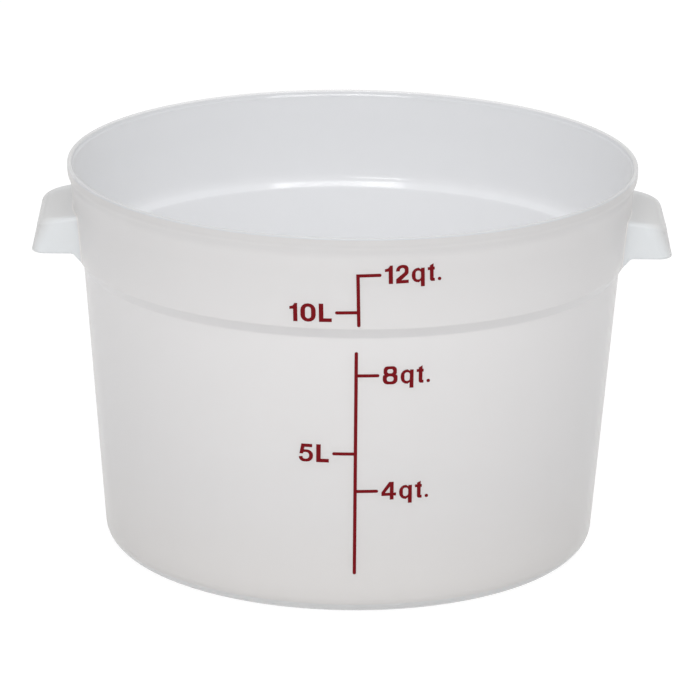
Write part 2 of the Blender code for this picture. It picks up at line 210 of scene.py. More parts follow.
INSIDE = rounded([
    (0, FLOOR_TOP, 0),
    (BASE_RADIUS - WALL + FLOOR_TOP * np.tan(DRAFT), FLOOR_TOP, FLOOR_ROUND),
    (WALL_TOP_RADIUS - WALL, SHOULDER_BOTTOM + INNER_RISE, INNER_SLOPE_FOOT_ROUND),
    (SLOPE_TOP_RADIUS, SLOPE_TOP, INNER_SLOPE_TOP_ROUND),
    (MOUTH_RADIUS, CHAMFER_BOTTOM, CHAMFER_ROUND),
    (MOUTH_RADIUS + CHAMFER_WIDTH, CHAMFER_BOTTOM + CHAMFER_HEIGHT, CHAMFER_ROUND),
    (RIM_RADIUS - CREST_RUN, HEIGHT, CREST_ROUND),
    (RIM_RADIUS, HEIGHT, BEAD_TOP_ROUND),
    (RIM_RADIUS, BEAD_FACE_BOTTOM, 0),
])[:-1]
print(f"inside: {len(INSIDE)} points, mouth {MOUTH_RADIUS / MM:.1f} mm from the axis")

# %% [markdown]
# ## The outside of the section
#
# The outside runs down from the bead's upright face, over the shoulder and round the foot, and then
# underneath to the axis. The bead runs out into the collar over two wide arcs, so on the real tub it has
# no edge below. The handles and the print both have to lie on this outside, so its radius at any height
# is read from the same points as the wall is made from.

# %% The chain from the bead to the middle of the underside
BEAD_UNDER_ROUND = 9.0 * MM
COLLAR_TOP_ROUND = 13.0 * MM
SHOULDER_TOP_ROUND = 1.2 * MM
SHOULDER_FOOT_ROUND = 1.8 * MM
FOOT_ROUND = 9.8 * MM
RING_ROUND = 0.4 * MM
RECESS_ROUND = 0.8 * MM
CORNERS_TO_FOOT = 5

OUTSIDE = rounded([
    (RIM_RADIUS, HEIGHT, 0),
    (RIM_RADIUS, BEAD_FACE_BOTTOM, BEAD_UNDER_ROUND),
    (COLLAR_TOP_RADIUS, BEAD_BOTTOM, COLLAR_TOP_ROUND),
    (COLLAR_BOTTOM_RADIUS, SHOULDER_TOP, SHOULDER_TOP_ROUND),
    (WALL_TOP_RADIUS, SHOULDER_BOTTOM, SHOULDER_FOOT_ROUND),
    (BASE_RADIUS, 0, FOOT_ROUND),
    (STANDING_RING_INSIDE, 0, RING_ROUND),
    (STANDING_RING_INSIDE - RECESS_SLOPE, RECESS_DEPTH, RECESS_ROUND),
    (0, RECESS_DEPTH, 0),
])[1:]
SECTION = np.vstack([INSIDE, OUTSIDE])
UP_THE_OUTSIDE = OUTSIDE[:CORNERS_TO_FOOT * ARC_POINTS][::-1]


def outer_radius(z):
    """The radius of the tub's outside at a height, read along its section between the foot and the bead."""
    return np.interp(z, UP_THE_OUTSIDE[:, 1], UP_THE_OUTSIDE[:, 0])


print(f"section: {len(SECTION)} points")

# %% [markdown]
# ## From a grid to a mesh
#
# A surface of two parameters gives a grid of points, and its faces join each point to its neighbours. One
# helper does that for every piece. It can close each row into a ring. Where a whole row lies on one
# point, such as on the tub's axis, merging that row closes the surface there.

# %% A grid of points as faces
MERGE = 0.001 * MM


def grid_faces(rows, columns, rings=False):
    """Quads that join (row, column) to (row, column + 1), (row + 1, column + 1) and (row + 1, column)."""
    row = np.arange(rows - 1)[:, None]
    column = np.arange(columns if rings else columns - 1)[None, :]
    after = (column + 1) % columns
    below = (row + 1) * columns
    corners = [row * columns + column, row * columns + after, below + after, below + column]
    shape = (rows - 1, column.size)
    return np.stack([np.broadcast_to(corner, shape) for corner in corners], axis=-1).reshape(-1, 4)


def new_piece(name, points, faces):
    """A mesh object at the origin, without doubles or faces of no size, and with every face outwards."""
    mesh = bpy.data.meshes.new(name)
    mesh.from_pydata(points.reshape(-1, 3), [], faces.tolist())
    form = bmesh.new()
    form.from_mesh(mesh)
    bmesh.ops.remove_doubles(form, verts=form.verts, dist=MERGE)
    bmesh.ops.dissolve_degenerate(form, edges=form.edges, dist=MERGE)
    bmesh.ops.recalc_face_normals(form, faces=form.faces)
    form.to_mesh(mesh)
    form.free()
    piece = bpy.data.objects.new(name, mesh)
    bpy.context.scene.collection.objects.link(piece)
    return piece


print(f"points closer than {MERGE / MM:.3f} mm are merged")

# %% [markdown]
# ## The turned tub
#
# The section is carried round the axis, as a lathe would. A Screw modifier does that too, but here the
# two arrays that make the grid are enough. Long straight runs of the section are cut into shorter ones
# first, so that the grid's cells stay near square and the union with the handles has something to work
# with.

# %% The turned tub
TURN_STEPS = 288
LONGEST_RUN = 6.0 * MM


def divided(chain, longest):
    """The chain with extra points on its long runs, evenly spaced by distance along it."""
    run = np.linalg.norm(np.diff(chain, axis=0), axis=1)
    pieces = np.maximum(np.ceil(run / longest).astype(int), 1)
    index = np.repeat(np.arange(len(run)), pieces)
    before = np.repeat(np.cumsum(pieces) - pieces, pieces)
    share = (np.arange(pieces.sum()) - before) / pieces[index]
    points = chain[index] + (chain[index + 1] - chain[index]) * share[:, None]
    return np.vstack([points, chain[-1:]])


def turned(name, section, steps):
    """A section turned about Z: (radius cos a, radius sin a, height) for each of its points and angles a."""
    angle = np.linspace(0, 2 * np.pi, steps, endpoint=False)
    radius, height = section[:, :1], section[:, 1:]
    axes = np.broadcast_arrays(radius * np.cos(angle), radius * np.sin(angle), height)
    return new_piece(name, np.stack(axes, axis=-1), grid_faces(len(section), steps, rings=True))


tub = turned("tub_moulding", divided(SECTION, LONGEST_RUN), TURN_STEPS)
print(f"tub: {len(tub.data.polygons)} faces")

# %% [markdown]
# ## The hooded handles
#
# Each handle is a hood that grows out of the collar: a top that falls away a little, a skirt that flares
# outwards on three sides, and nothing underneath, so that fingers reach in from below. At the wall, each
# end of the hood runs down into a small gusset. The edge round the top is crisp over the two ends and
# soft over the front, where a hand meets it.
#
# A box with bevelled edges would come near. But its edges would be equally soft all round, and its skirt
# would need cuts by hand to flare. So the hood is a surface of two parameters, and each of these features
# is one of its sizes.

# %% The sizes of a hood
HALF_LENGTH = 36.0 * MM
HOOD_WALL = 2.0 * MM
HOOD_FALL = 44.0 * MM
CROWN_FALL = 26.8 * MM
TOP_FALL = 3.2 * MM
TOP_RUN = 22.8 * MM
TOP_MIDDLE_X = 157.0 * MM
SKIRT_FLARE = 2.4 * MM
END_DRAFT = 0.7 * MM
LIP_CORNER_ROUND = 7.5 * MM
CROWN_CORNER_ROUND = 13.0 * MM
CROWN_ROUND = 5.0 * MM
END_ROUND = 2.4 * MM
GUSSET_X = 148.9 * MM
GUSSET_FALL = 8.1 * MM
GUSSET_RUN = 7.2 * MM

LIP_Z = HEIGHT - HOOD_FALL + HOOD_WALL / 2
CROWN_Z = HEIGHT - CROWN_FALL
TOP_SLOPE = TOP_FALL / TOP_RUN
GUSSET_SLOPE = GUSSET_FALL / GUSSET_RUN
print(f"hood: {(CROWN_Z - LIP_Z) / MM:.1f} mm from lip to crown, {2 * HALF_LENGTH / MM:.0f} mm long")

# %% [markdown]
# ## The two parameters of a hood
#
# One parameter runs along the hood's U-shaped plan, from the wall round both corners and back to the
# wall. The other goes up the skirt, over the crown and inwards across the top, where the plan shrinks
# until its two halves meet. The same surface, drawn in by the wall's thickness, is the inside.

# %% A hood from the lip to the middle of its top
SKIRT_ROWS, CROWN_ROWS, TOP_ROWS = 14, 10, 10


def hood_height(x, up, below, inset):
    """The height at x, a share up the skirt, or a distance below the top on the crown.

    The top is a plane that falls with x. The lip is level, and falls by the gusset's slope near the wall.
    The skirt is a straight line between them.
    """
    top = CROWN_Z - inset + (TIP_X - SKIRT_FLARE - x) * TOP_SLOPE
    lip = LIP_Z - np.maximum(GUSSET_X - x, 0) * GUSSET_SLOPE
    return np.where(up < 1, lip + (top - below - lip) * up, top - below)


def hood_rows():
    """The rows' shares: up the skirt, drawn in by the crown, under the top, and inwards across it.

    Round the crown, an angle grows from none to a right one. There the surface is drawn in by 1 - cos and
    lies under the top by 1 - sin of that angle, as shares of the crown's round.
    """
    skirt = np.linspace(0, 1, SKIRT_ROWS, endpoint=False)
    crown = np.linspace(0, np.pi / 2, CROWN_ROWS, endpoint=False)
    top = np.linspace(0, 1, TOP_ROWS)
    up = np.concatenate([skirt, 1 + 0 * crown, 1 + 0 * top])
    drawn = np.concatenate([0 * skirt, 1 - np.cos(crown), 1 + 0 * top])
    under = np.concatenate([1 + 0 * skirt, 1 - np.sin(crown), 0 * top])
    inwards = np.concatenate([0 * skirt, 0 * crown, top])
    return up[:, None], drawn[:, None], under[:, None], inwards[:, None]


print(f"hood: {len(hood_rows()[0])} rows")

# %% [markdown]
# ## A hood along its plan
#
# Seen from above, the hood has a flat front, two round corners and two straight ends that run into the
# wall. Its corners are tighter at the lip than at the crown. A Mirror modifier could make one half from
# the other. Here the three stretches of half a U are worked out for all rows at once, and the other half
# is the same with y turned round, which keeps the two as one grid.

# %% A hood's surface
SIDE_POINTS, CORNER_POINTS, FRONT_POINTS = 14, 14, 20
ROOT_STEPS = 4


def root_x(half, z):
    """Where a line at y = half meets the middle of the tub's wall: x = sqrt(radius^2 - half^2)."""
    return np.sqrt(np.maximum((outer_radius(z) - WALL / 2) ** 2 - half ** 2, 0))


def hood_grid(inset):
    """Points (row, along, xyz) of the hood's surface, drawn in by inset.

    Each row is a U: straight out from the wall at y = half, a quarter turn about a corner's centre, straight
    along y, and the same back. The crown's round is small over the two ends, grows with sin squared of the
    quarter turn, and is large over the front. The wall leans, so where a row starts depends on its height,
    and its height on where it starts: a few steps settle both.
    """
    up, drawn, under, inwards = hood_rows()
    reach = TIP_X - inset - SKIRT_FLARE * up - (CROWN_ROUND - inset) * drawn
    reach = reach + (TOP_MIDDLE_X - reach) * inwards
    half = (HALF_LENGTH - inset - END_DRAFT * up - (END_ROUND - inset) * drawn) * (1 - inwards)
    corner = LIP_CORNER_ROUND + (CROWN_CORNER_ROUND - LIP_CORNER_ROUND) * up - inset
    corner = np.minimum(corner * (1 - inwards), half)

    side = np.linspace(0, 1, SIDE_POINTS, endpoint=False)
    turn = np.linspace(0, np.pi / 2, CORNER_POINTS, endpoint=False)
    front = np.linspace(0, 1, FRONT_POINTS)
    to_front = np.concatenate([0 * side, np.sin(turn) ** 2, 1 + 0 * front])
    below = under * (END_ROUND + (CROWN_ROUND - END_ROUND) * to_front - inset)
    root = root_x(half, CROWN_Z)
    for _ in range(ROOT_STEPS):
        root = root_x(half, hood_height(root, up, below[:, :1], inset))

    out = root + (reach - corner - root) * side
    x = np.concatenate([out, reach - corner + corner * np.sin(turn), reach + 0 * front], axis=1)
    along = (half - corner) * (1 - front)
    y = np.concatenate([half + 0 * side, half - corner + corner * np.cos(turn), along], axis=1)
    x = np.concatenate([x, x[:, -2::-1]], axis=1)
    y = np.concatenate([y, -y[:, -2::-1]], axis=1)
    below = np.concatenate([below, below[:, -2::-1]], axis=1)
    return np.stack([x, y, hood_height(x, up, below, inset)], axis=-1)


print(f"hood: {' by '.join(str(count) for count in hood_grid(0.0).shape[:2])} points on each side")

# %% [markdown]
# ## A hood with its wall and its lip
#
# The real hood is about as thick as the tub's wall, and its lip is rounded so that it doesn't cut into
# fingers. A Solidify modifier could give it a wall, but it would keep the lip square. So the outer and
# the inner surface are laid one after the other into one grid, with the half round of the lip between
# them.

# %% The right hood
LIP_ROWS = 8


def make_hood(name):
    """The outer and the inner surface, joined along the lip by a half round and along the wall by strips.

    The half round: middle + (outer - middle) cos a, lower by half the wall's thickness times sin a. A strip
    joins each point of the outer surface's edge at the wall to its fellow on the inner one.
    """
    outer = hood_grid(0.0)
    inner = hood_grid(HOOD_WALL)
    angle = np.linspace(0, np.pi, LIP_ROWS + 2)[1:-1, None, None]
    middle = (outer[0] + inner[0]) / 2
    lip = middle + (outer[0] - middle) * np.cos(angle)
    lip[..., 2] -= HOOD_WALL / 2 * np.sin(angle[..., 0])
    rows = np.concatenate([outer[::-1], lip, inner])
    count, columns = rows.shape[:2]
    faces = [grid_faces(count, columns)]
    for column in (0, columns - 1):
        edge = np.arange(count) * columns + column
        here = np.arange(count // 2 - 1)
        strip = [edge[here], edge[here + 1], edge[count - 2 - here], edge[count - 1 - here]]
        faces.append(np.stack(strip, axis=-1))
    return new_piece(name, rows, np.vstack(faces))


right_hood = make_hood("hood_right")
box = " by ".join(f"{size / MM:.1f}" for size in right_hood.dimensions)
print(f"hood: {len(right_hood.data.polygons)} faces, {box} mm")

# %% [markdown]
# ## One moulding
#
# The handles are moulded in one with the wall. Three shapes that only overlap would look the same in
# metal, but not here: light passes through milky plastic once for each wall, and a hidden wall inside
# another would show as a darker patch. So they are joined into one closed skin.

# %% Joining the handles to the tub
CREASE_DEGREES = 40


def mirrored(piece, name):
    """A copy of a piece mirrored across X = 0, with its faces turned back outwards."""
    mesh = piece.data.copy()
    mesh.transform(Matrix.Scale(-1, 4, (1, 0, 0)))
    mesh.flip_normals()
    copy = bpy.data.objects.new(name, mesh)
    bpy.context.scene.collection.objects.link(copy)
    return copy


def join(piece, others):
    """Joins the others to the piece by exact unions, as one mesh, and removes them."""
    for other in others:
        union = piece.modifiers.new(other.name, "BOOLEAN")
        union.operation = "UNION"
        union.solver = "EXACT"
        union.object = other
    bpy.context.view_layer.update()
    finished = piece.evaluated_get(bpy.context.evaluated_depsgraph_get())
    mesh = bpy.data.meshes.new_from_object(finished)
    piece.modifiers.clear()
    piece.data = mesh
    for other in others:
        bpy.data.objects.remove(other)


def soften(piece, crease_degrees):
    """Smooth shading, with a hard line only where two faces meet at more than an angle."""
    piece.data.shade_smooth()
    piece.data.set_sharp_from_angle(angle=np.radians(crease_degrees))


left_hood = mirrored(right_hood, "hood_left")
join(tub, [right_hood, left_hood])
soften(tub, CREASE_DEGREES)
print(f"moulding: {len(tub.data.polygons)} faces")

# %% [markdown]
# ## The printed scale
#
# The real marks are a film of ink on the wall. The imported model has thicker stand-ins that keep clear of
# the wall. The print could be a picture laid over the tub, but it would blur from near by, and each mark
# would stop being a piece of its own. So each stand-in is copied, cut into narrow strips so that it can
# bend, and pressed on to the smooth wall.

# %% Pressing the marks on to the wall
INK_GAP = 0.3 * MM
INK_THICKNESS = 0.25 * MM
FILM_LIFT = 0.03 * MM
FILM_THICKNESS = 0.06 * MM
STRIP = 1.5 * MM
TICK_JOIN = 0.35 * MM
ROOT_DEPTH = 0.2 * MM
LINE_X = 2.15 * MM


def in_strips(source, name):
    """A copy of a mesh without its doubles, cut by upright planes that are STRIP apart along x."""
    form = bmesh.new()
    form.from_mesh(source)
    bmesh.ops.remove_doubles(form, verts=form.verts, dist=MERGE)
    xs = [vertex.co.x for vertex in form.verts]
    for x in np.arange(min(xs) + STRIP, max(xs), STRIP):
        everything = form.verts[:] + form.edges[:] + form.faces[:]
        bmesh.ops.bisect_plane(form, geom=everything, plane_co=(x, 0, 0), plane_no=(1, 0, 0))
    mesh = bpy.data.meshes.new(name)
    form.to_mesh(mesh)
    form.free()
    return mesh


def pressed(node_name):
    """A copy of a mark, pressed on to the wall.

    Its distance from the axis becomes the wall's radius there plus the film's lift, plus the film's
    thickness times the share of the stand-in's thickness at which the point was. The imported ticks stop
    short of their line, so the points at a tick's root, which are those nearest the line, are first moved
    on to it.
    """
    mesh = in_strips(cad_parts[node_name].data, "ink_" + node_name)
    points = np.empty(len(mesh.vertices) * 3)
    mesh.vertices.foreach_get("co", points)
    points = points.reshape(-1, 3)
    from_axis = np.hypot(points[:, 0], points[:, 1])
    share = (from_axis - outer_radius(points[:, 2]) - INK_GAP) / INK_THICKNESS
    if node_name.startswith("tick_"):
        from_line = points[:, 0] - LINE_X
        at_root = np.abs(from_line) < np.abs(from_line).min() + ROOT_DEPTH
        points[:, 0] -= np.sign(from_line) * TICK_JOIN * at_root
    film = outer_radius(points[:, 2]) + FILM_LIFT + FILM_THICKNESS * share
    points[:, :2] *= (film / np.hypot(points[:, 0], points[:, 1]))[:, None]
    mesh.vertices.foreach_set("co", points.ravel())
    mark = bpy.data.objects.new("ink_" + node_name, mesh)
    bpy.context.scene.collection.objects.link(mark)
    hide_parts(node_name)
    return mark


marks = [pressed(name) for name in sorted(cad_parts) if name != "tub"]
print(f"print: {len(marks)} marks")

# %% [markdown]
# ## Shader sums written as Python
#
# A finish is a sum over a few patterns. It can be wired by hand in the shader editor, but a long sum is
# hard to read there. The class below wraps one socket, so that a sum is written as it would be on paper.
# Its node method makes any other node.

# %% A socket that can be added, multiplied, compared and fed to other nodes
class Wire:
    """An output socket of a node tree. Arithmetic on it adds Math nodes, and node() makes any other node."""

    def __init__(self, tree, socket=None):
        self.tree = tree
        self.socket = socket

    def node(self, kind, settings=None, inputs=None, output=0):
        """A new node with its settings made first, then the values or links of its sockets."""
        made = self.tree.nodes.new(kind)
        for name, value in (settings or {}).items():
            if name == "stops":
                while len(made.color_ramp.elements) < len(value):
                    made.color_ramp.elements.new(1.0)
                for stop, (position, color) in zip(made.color_ramp.elements, value):
                    stop.position = position
                    stop.color = color
            else:
                setattr(made, name, value)
        for name, value in (inputs or {}).items():
            if isinstance(value, Wire):
                self.tree.links.new(value.socket, made.inputs[name])
            else:
                made.inputs[name].default_value = value
        return Wire(self.tree, made.outputs[output]) if made.outputs else made

    def math(self, operation, first, second):
        """A Math node on two wires or numbers."""
        return self.node("ShaderNodeMath", {"operation": operation}, {0: first, 1: second})

    def __add__(self, other):
        return self.math("ADD", self, other)

    def __sub__(self, other):
        return self.math("SUBTRACT", self, other)

    def __rsub__(self, other):
        return self.math("SUBTRACT", other, self)

    def __mul__(self, other):
        return self.math("MULTIPLY", self, other)

    def __lt__(self, other):
        return self.math("LESS_THAN", self, other)

    def __gt__(self, other):
        return self.math("GREATER_THAN", self, other)

    def __abs__(self):
        return self.math("ABSOLUTE", self, 0.0)

    __radd__ = __add__
    __rmul__ = __mul__


# %% [markdown]
# ## Materials, colours and blends
#
# A real finish is seldom one plain colour: plastic and ink both vary a little from place to place. So a few
# kinds of node come back in every finish here: a share between two values, a colour between two, and a
# shader between two. Each has a short name, so that the finishes below read as sentences. A material
# starts with an empty tree, so that nothing in it is there by default.

# %% Helpers that every finish uses
def new_material(name):
    """A material with an empty tree, and a Wire to build it with."""
    material = bpy.data.materials.new(name)
    material.use_nodes = True
    material.node_tree.nodes.clear()
    return material, Wire(material.node_tree)


def grey(value):
    """A colour of one value."""
    return (value, value, value, 1)


WHITE = grey(1.0)
BLACK = grey(0.0)


def between(wire, value, start, end):
    """A share that grows from 0 where a value is at its start to 1 where it is at its end."""
    return wire.node("ShaderNodeMapRange", {}, {"Value": value, "From Min": start, "From Max": end})


def mixed(wire, share, first, second):
    """A colour between two, by the share of the second."""
    sockets = {"Factor": share, "A": first, "B": second}
    return wire.node("ShaderNodeMix", {"data_type": "RGBA"}, sockets, output=2)


def blended(wire, share, first, second):
    """A shader between two, by the share of the second."""
    return wire.node("ShaderNodeMixShader", {}, {0: share, 1: first, 2: second})


# %% [markdown]
# ## How milky the plastic is, and painted light and shade, by height
#
# Natural polypropylene scatters most of the light that enters it, and how milky it looks changes with its
# thickness and its shape. One colour for the whole tub would look like paint. So the tone follows the
# height, by one list for the outside and one for the inside, as greys with a tint. Most of what these
# lists change is painted light and shade. The foot and the bead's face are painted darker and the top of
# the lower wall lighter. The inside is painted darker under the rim, and a paler band low on the inner
# slope is a painted highlight. The outside is a touch warmer than the inside, as in the photograph. The
# floor and the crest of the rim have no tint.

# %% Tones by height, with painted light and shade
TONE_EDGE = 0.5 * MM
FOOT_SHADE_TOP = 18 * MM
LOWER_WALL_TOP = 63 * MM
ON_COLLAR = HEIGHT - 21 * MM
ABOVE_SLOPE = SHOULDER_TOP + 5 * MM
BELOW_CREST = HEIGHT - 1 * MM
CREST_LINE = HEIGHT - 0.3 * MM
# Painted highlight: the lower part of the inner slope is painted paler, so that its line shows at the sides.
SLOPE_PAINTED_HIGHLIGHT = [(-0.5 * MM, 0.945), (1 * MM, 1.000), (3 * MM, 1.000), (5 * MM, 0.945)]
PLAIN = (1.0, 1.0, 1.0)
WARM = (1.040, 0.989, 0.950)
COOL = (0.945, 0.986, 1.055)


def stops(table, tint):
    """Colour ramp stops from rows of a height and a grey: each position is a share of the tub's height."""
    return [(z / HEIGHT, (*(value * part for part in tint), 1)) for z, value in table]


# Painted light and shade by height: darker foot and bead face, lighter lower wall, darker inside under the
# rim.
OUTSIDE_PAINTED_SHADING = stops([
    (0, 0.920),
    (FOOT_SHADE_TOP, 0.955),
    (LOWER_WALL_TOP, 0.960),
    (SHOULDER_BOTTOM, 1.000),
    (SHOULDER_TOP, 0.975),
    (ON_COLLAR, 0.93),
    (BEAD_BOTTOM, 0.94),
    (BEAD_FACE_BOTTOM - TONE_EDGE, 0.93),
    (BEAD_FACE_BOTTOM + 2 * TONE_EDGE, 0.85),
    (HEIGHT, 0.85),
], WARM)
INSIDE_PAINTED_SHADING = stops([(0, 0.935)], PLAIN) + stops([
    (LOWER_WALL_TOP, 0.940),
    *((SHOULDER_BOTTOM + rise, value) for rise, value in SLOPE_PAINTED_HIGHLIGHT),
    (ABOVE_SLOPE, 0.915),
    (CHAMFER_BOTTOM, 0.890),
    (CHAMFER_BOTTOM + CHAMFER_HEIGHT, 0.855),
    (BELOW_CREST, 0.865),
], COOL) + stops([(CREST_LINE, 0.88)], PLAIN)
print(f"tones: {len(OUTSIDE_PAINTED_SHADING)} outside, {len(INSIDE_PAINTED_SHADING)} inside")

# %% [markdown]
# ## Where a point is on the tub
#
# The moulding is one skin, so one material has to know the inside from the outside. Two materials would
# do that too, but their border would follow the faces. Here a point is on the inside where it is nearer
# to the axis than the middle of the wall at its height. It is on a handle where it is outside the wall
# and below the bead, and on the crest of the rim where it is close to the tub's top.
#
# A colour ramp holds only values up to 1, so it gives the radius of the wall's middle as a share of a
# larger one.

# %% Places on the tub, as shares from 0 to 1
LARGEST_RADIUS = 200 * MM
OVER_FOOT = 12 * MM
CREST_DEPTH = 1.4 * MM
CREST_WIDTH = 2.6 * MM
END_EDGE = 1 * MM
END_FADE = 7 * MM
MIDDLE_OF_WALL = [
    (OVER_FOOT, outer_radius(OVER_FOOT) - WALL / 2),
    (SHOULDER_BOTTOM - TONE_EDGE, outer_radius(SHOULDER_BOTTOM - TONE_EDGE) - WALL / 2),
    (SHOULDER_TOP + TONE_EDGE, outer_radius(SHOULDER_TOP + TONE_EDGE) - WALL / 2),
    (BEAD_BOTTOM, outer_radius(BEAD_BOTTOM) - WALL / 2),
    (CHAMFER_BOTTOM, RIM_RADIUS - 2 * TONE_EDGE),
    (HEIGHT, RIM_RADIUS + TONE_EDGE),
]

polypropylene, wire = new_material("frosted_polypropylene")
place = wire.node("ShaderNodeTexCoord", output="Object")
to_back = wire.node("ShaderNodeSeparateXYZ", {}, {0: place}, output="Y")
height = wire.node("ShaderNodeSeparateXYZ", {}, {0: place}, output="Z") * (1 / HEIGHT)
level = wire.node("ShaderNodeVectorMath", {"operation": "MULTIPLY"}, {0: place, 1: (1, 1, 0)})
radius = wire.node("ShaderNodeVectorMath", {"operation": "LENGTH"}, {0: level}, output="Value")


def by_height(table):
    """A colour that follows the height, from a ramp's stops."""
    return wire.node("ShaderNodeValToRGB", {"stops": table}, {0: height})


middle_of_wall = by_height(stops(
    [(z, middle / LARGEST_RADIUS) for z, middle in MIDDLE_OF_WALL], PLAIN)) * LARGEST_RADIUS
within = radius < middle_of_wall
under_bead = height < BEAD_BOTTOM / HEIGHT
on_handle = (radius > middle_of_wall + (WALL / 2 + TONE_EDGE)) * under_bead
from_end = between(wire, abs(to_back), HALF_LENGTH - END_EDGE, HALF_LENGTH - END_FADE)
on_crest = height > 1 - CREST_DEPTH / HEIGHT
far_side = wire.math("MAXIMUM", to_back * (1 / RIM_RADIUS), 0.0)
# Painted light: the crest's mask is kept to the far side, where more white shows through, standing in for
# backlight.
crest_painted_backlight = between(wire, radius, RIM_RADIUS - CREST_WIDTH, RIM_RADIUS) * on_crest * far_side
print(f"wall's middle: {len(MIDDLE_OF_WALL)} heights")

# %% [markdown]
# ## The tone of every place, with painted shade
#
# The wall takes one of the two lists. The shoulder's band, which faces down, has a painted shade of its
# own on the near side, which fades towards the left and the right, where the band turns away. A handle's
# top has a painted shade that makes it a little darker than its two ends. Each border could be a row of
# faces with a material of its own, but a mask fades where a row of faces would end in a step.

# %% One tone from all lists
# Painted shade: a darker warm grey for the shoulder's band on the near side, and a darker grey for a
# handle's top.
BAND_PAINTED_SHADE = (0.955, 0.903, 0.872, 1)
BAND_FADES = 0.50
BAND_FULL = 0.92
HANDLE_TOP_PAINTED_SHADE = grey(0.85)
HANDLE_END_TONE = (0.912, 0.952, 0.980, 1)
BAND_SHARES = stops([
    (SHOULDER_BOTTOM - 2 * TONE_EDGE, 0),
    (SHOULDER_BOTTOM + TONE_EDGE, 1),
    (SHOULDER_TOP - TONE_EDGE, 1),
    (SHOULDER_TOP, 0),
], PLAIN)

# The band's painted shade: strongest at the front, gone at the left and the right.
near_side = between(wire, to_back * (-1 / RIM_RADIUS), BAND_FADES, BAND_FULL)
painted_band_shade = by_height(BAND_SHARES) * near_side
outer_painted_shading = mixed(wire, painted_band_shade, by_height(OUTSIDE_PAINTED_SHADING), BAND_PAINTED_SHADE)
wall_painted_shading = mixed(wire, within, outer_painted_shading, by_height(INSIDE_PAINTED_SHADING))
# A handle's top gets its painted shade, its two ends a pale bluish grey.
handle_painted_shading = mixed(wire, from_end, HANDLE_END_TONE, HANDLE_TOP_PAINTED_SHADE)
tone = mixed(wire, on_handle, wall_painted_shading, handle_painted_shading)
print(f"tone: {len(polypropylene.node_tree.nodes)} nodes so far")

# %% [markdown]
# ## Frosted polypropylene
#
# Seen from outside, the wall shows three things at once: light that the near face throws back, light that
# comes through from the inside of the tub, and, very faintly, what lies behind. Subsurface scattering
# would make all that in a thick body, but in a thin wall it is slow and grainy. So the finish is three
# shaders: a plastic one, a Translucent one that passes light on in all directions, and a little
# Transparent. Each wall has two faces, so each of these counts twice.
#
# The Translucent one is mixed from one that passes all light and one that stops it, because a factor can
# vary where its colour can't. That factor is the tone, with its painted light and shade. On the crest of
# the rim the wall is thinnest, so more of the white behind shows through. That this is kept to the far
# side and fades out towards the near side is painted light, standing in for light from behind the tub.
# The inside is smoother than the outside, so that the two slopes mirror their lamp as lines. A fine grain
# and a slow unevenness break up the gloss.

# %% The shaders of the moulding
TRANSLUCENCY = 0.45
CLEAR_SHARE = 0.30
# The crest's extra see-through share: partly the thin crest, partly painted light from behind.
CREST_BACKLIGHT_CLEAR = 0.55
PLASTIC_IOR = 1.49
OUTSIDE_ROUGHNESS = 0.25
INSIDE_ROUGHNESS = 0.11
GRAIN_SCALE = 900.0
GRAIN_DETAIL = 2.0
GRAIN_SHARE = 0.3
FLOW_SCALE = 14.0
FLOW_DETAIL = 3.0
BUMP_STRENGTH = 0.15
BUMP_DISTANCE = 0.4 * MM


def pattern(wire, place, scale, detail):
    """A Noise texture at a place."""
    return wire.node("ShaderNodeTexNoise", {}, {"Vector": place, "Scale": scale, "Detail": detail})


grain = pattern(wire, place, GRAIN_SCALE, GRAIN_DETAIL)
flow = pattern(wire, place, FLOW_SCALE, FLOW_DETAIL)
bump = wire.node("ShaderNodeBump", {}, {
    "Height": grain * GRAIN_SHARE + flow,
    "Strength": BUMP_STRENGTH,
    "Distance": BUMP_DISTANCE,
})
plastic = wire.node("ShaderNodeBsdfPrincipled", {}, {
    "Base Color": tone,
    "Roughness": wire.node("ShaderNodeMix", {}, {0: within, 2: OUTSIDE_ROUGHNESS, 3: INSIDE_ROUGHNESS}),
    "IOR": PLASTIC_IOR,
    "Normal": bump,
})
passing = wire.node("ShaderNodeBsdfTranslucent", {}, {"Color": WHITE, "Normal": bump})
stopping = wire.node("ShaderNodeBsdfTranslucent", {}, {"Color": BLACK, "Normal": bump})
through = blended(wire, tone, stopping, passing)
clear = wire.node("ShaderNodeBsdfTransparent", {}, {"Color": WHITE})
milky = blended(wire, TRANSLUCENCY, plastic, through)
finish = blended(wire, crest_painted_backlight * CREST_BACKLIGHT_CLEAR + CLEAR_SHARE, milky, clear)
wire.node("ShaderNodeOutputMaterial", {}, {"Surface": finish})
tub.data.materials.clear()
tub.data.materials.append(polypropylene)
print(f"frosted polypropylene: {len(polypropylene.node_tree.nodes)} nodes")

# %% [markdown]
# ## Printing ink
#
# The scale is printed in one dark red ink. It dries to a satin film, a touch uneven where it took less
# well. One flat colour would do from far away, and two close ones, mixed by a fine pattern, also hold
# from near by.

# %% The finish of the print
INK_DEEP = (0.165, 0.003, 0.006, 1)
INK_THIN = (0.20, 0.006, 0.011, 1)
INK_ROUGHNESS = 0.6
INK_GLOSS = 0.1
COVER_SCALE = 420.0
COVER_DETAIL = 2.0


def printing_ink():
    """The ink's material: two close reds by how well the ink covers, and little gloss."""
    ink, wire = new_material("scale_ink")
    place = wire.node("ShaderNodeTexCoord", output="Object")
    film = wire.node("ShaderNodeBsdfPrincipled", {}, {
        "Base Color": mixed(wire, pattern(wire, place, COVER_SCALE, COVER_DETAIL), INK_DEEP, INK_THIN),
        "Roughness": INK_ROUGHNESS,
        "Specular IOR Level": INK_GLOSS,
    })
    wire.node("ShaderNodeOutputMaterial", {}, {"Surface": film})
    return ink


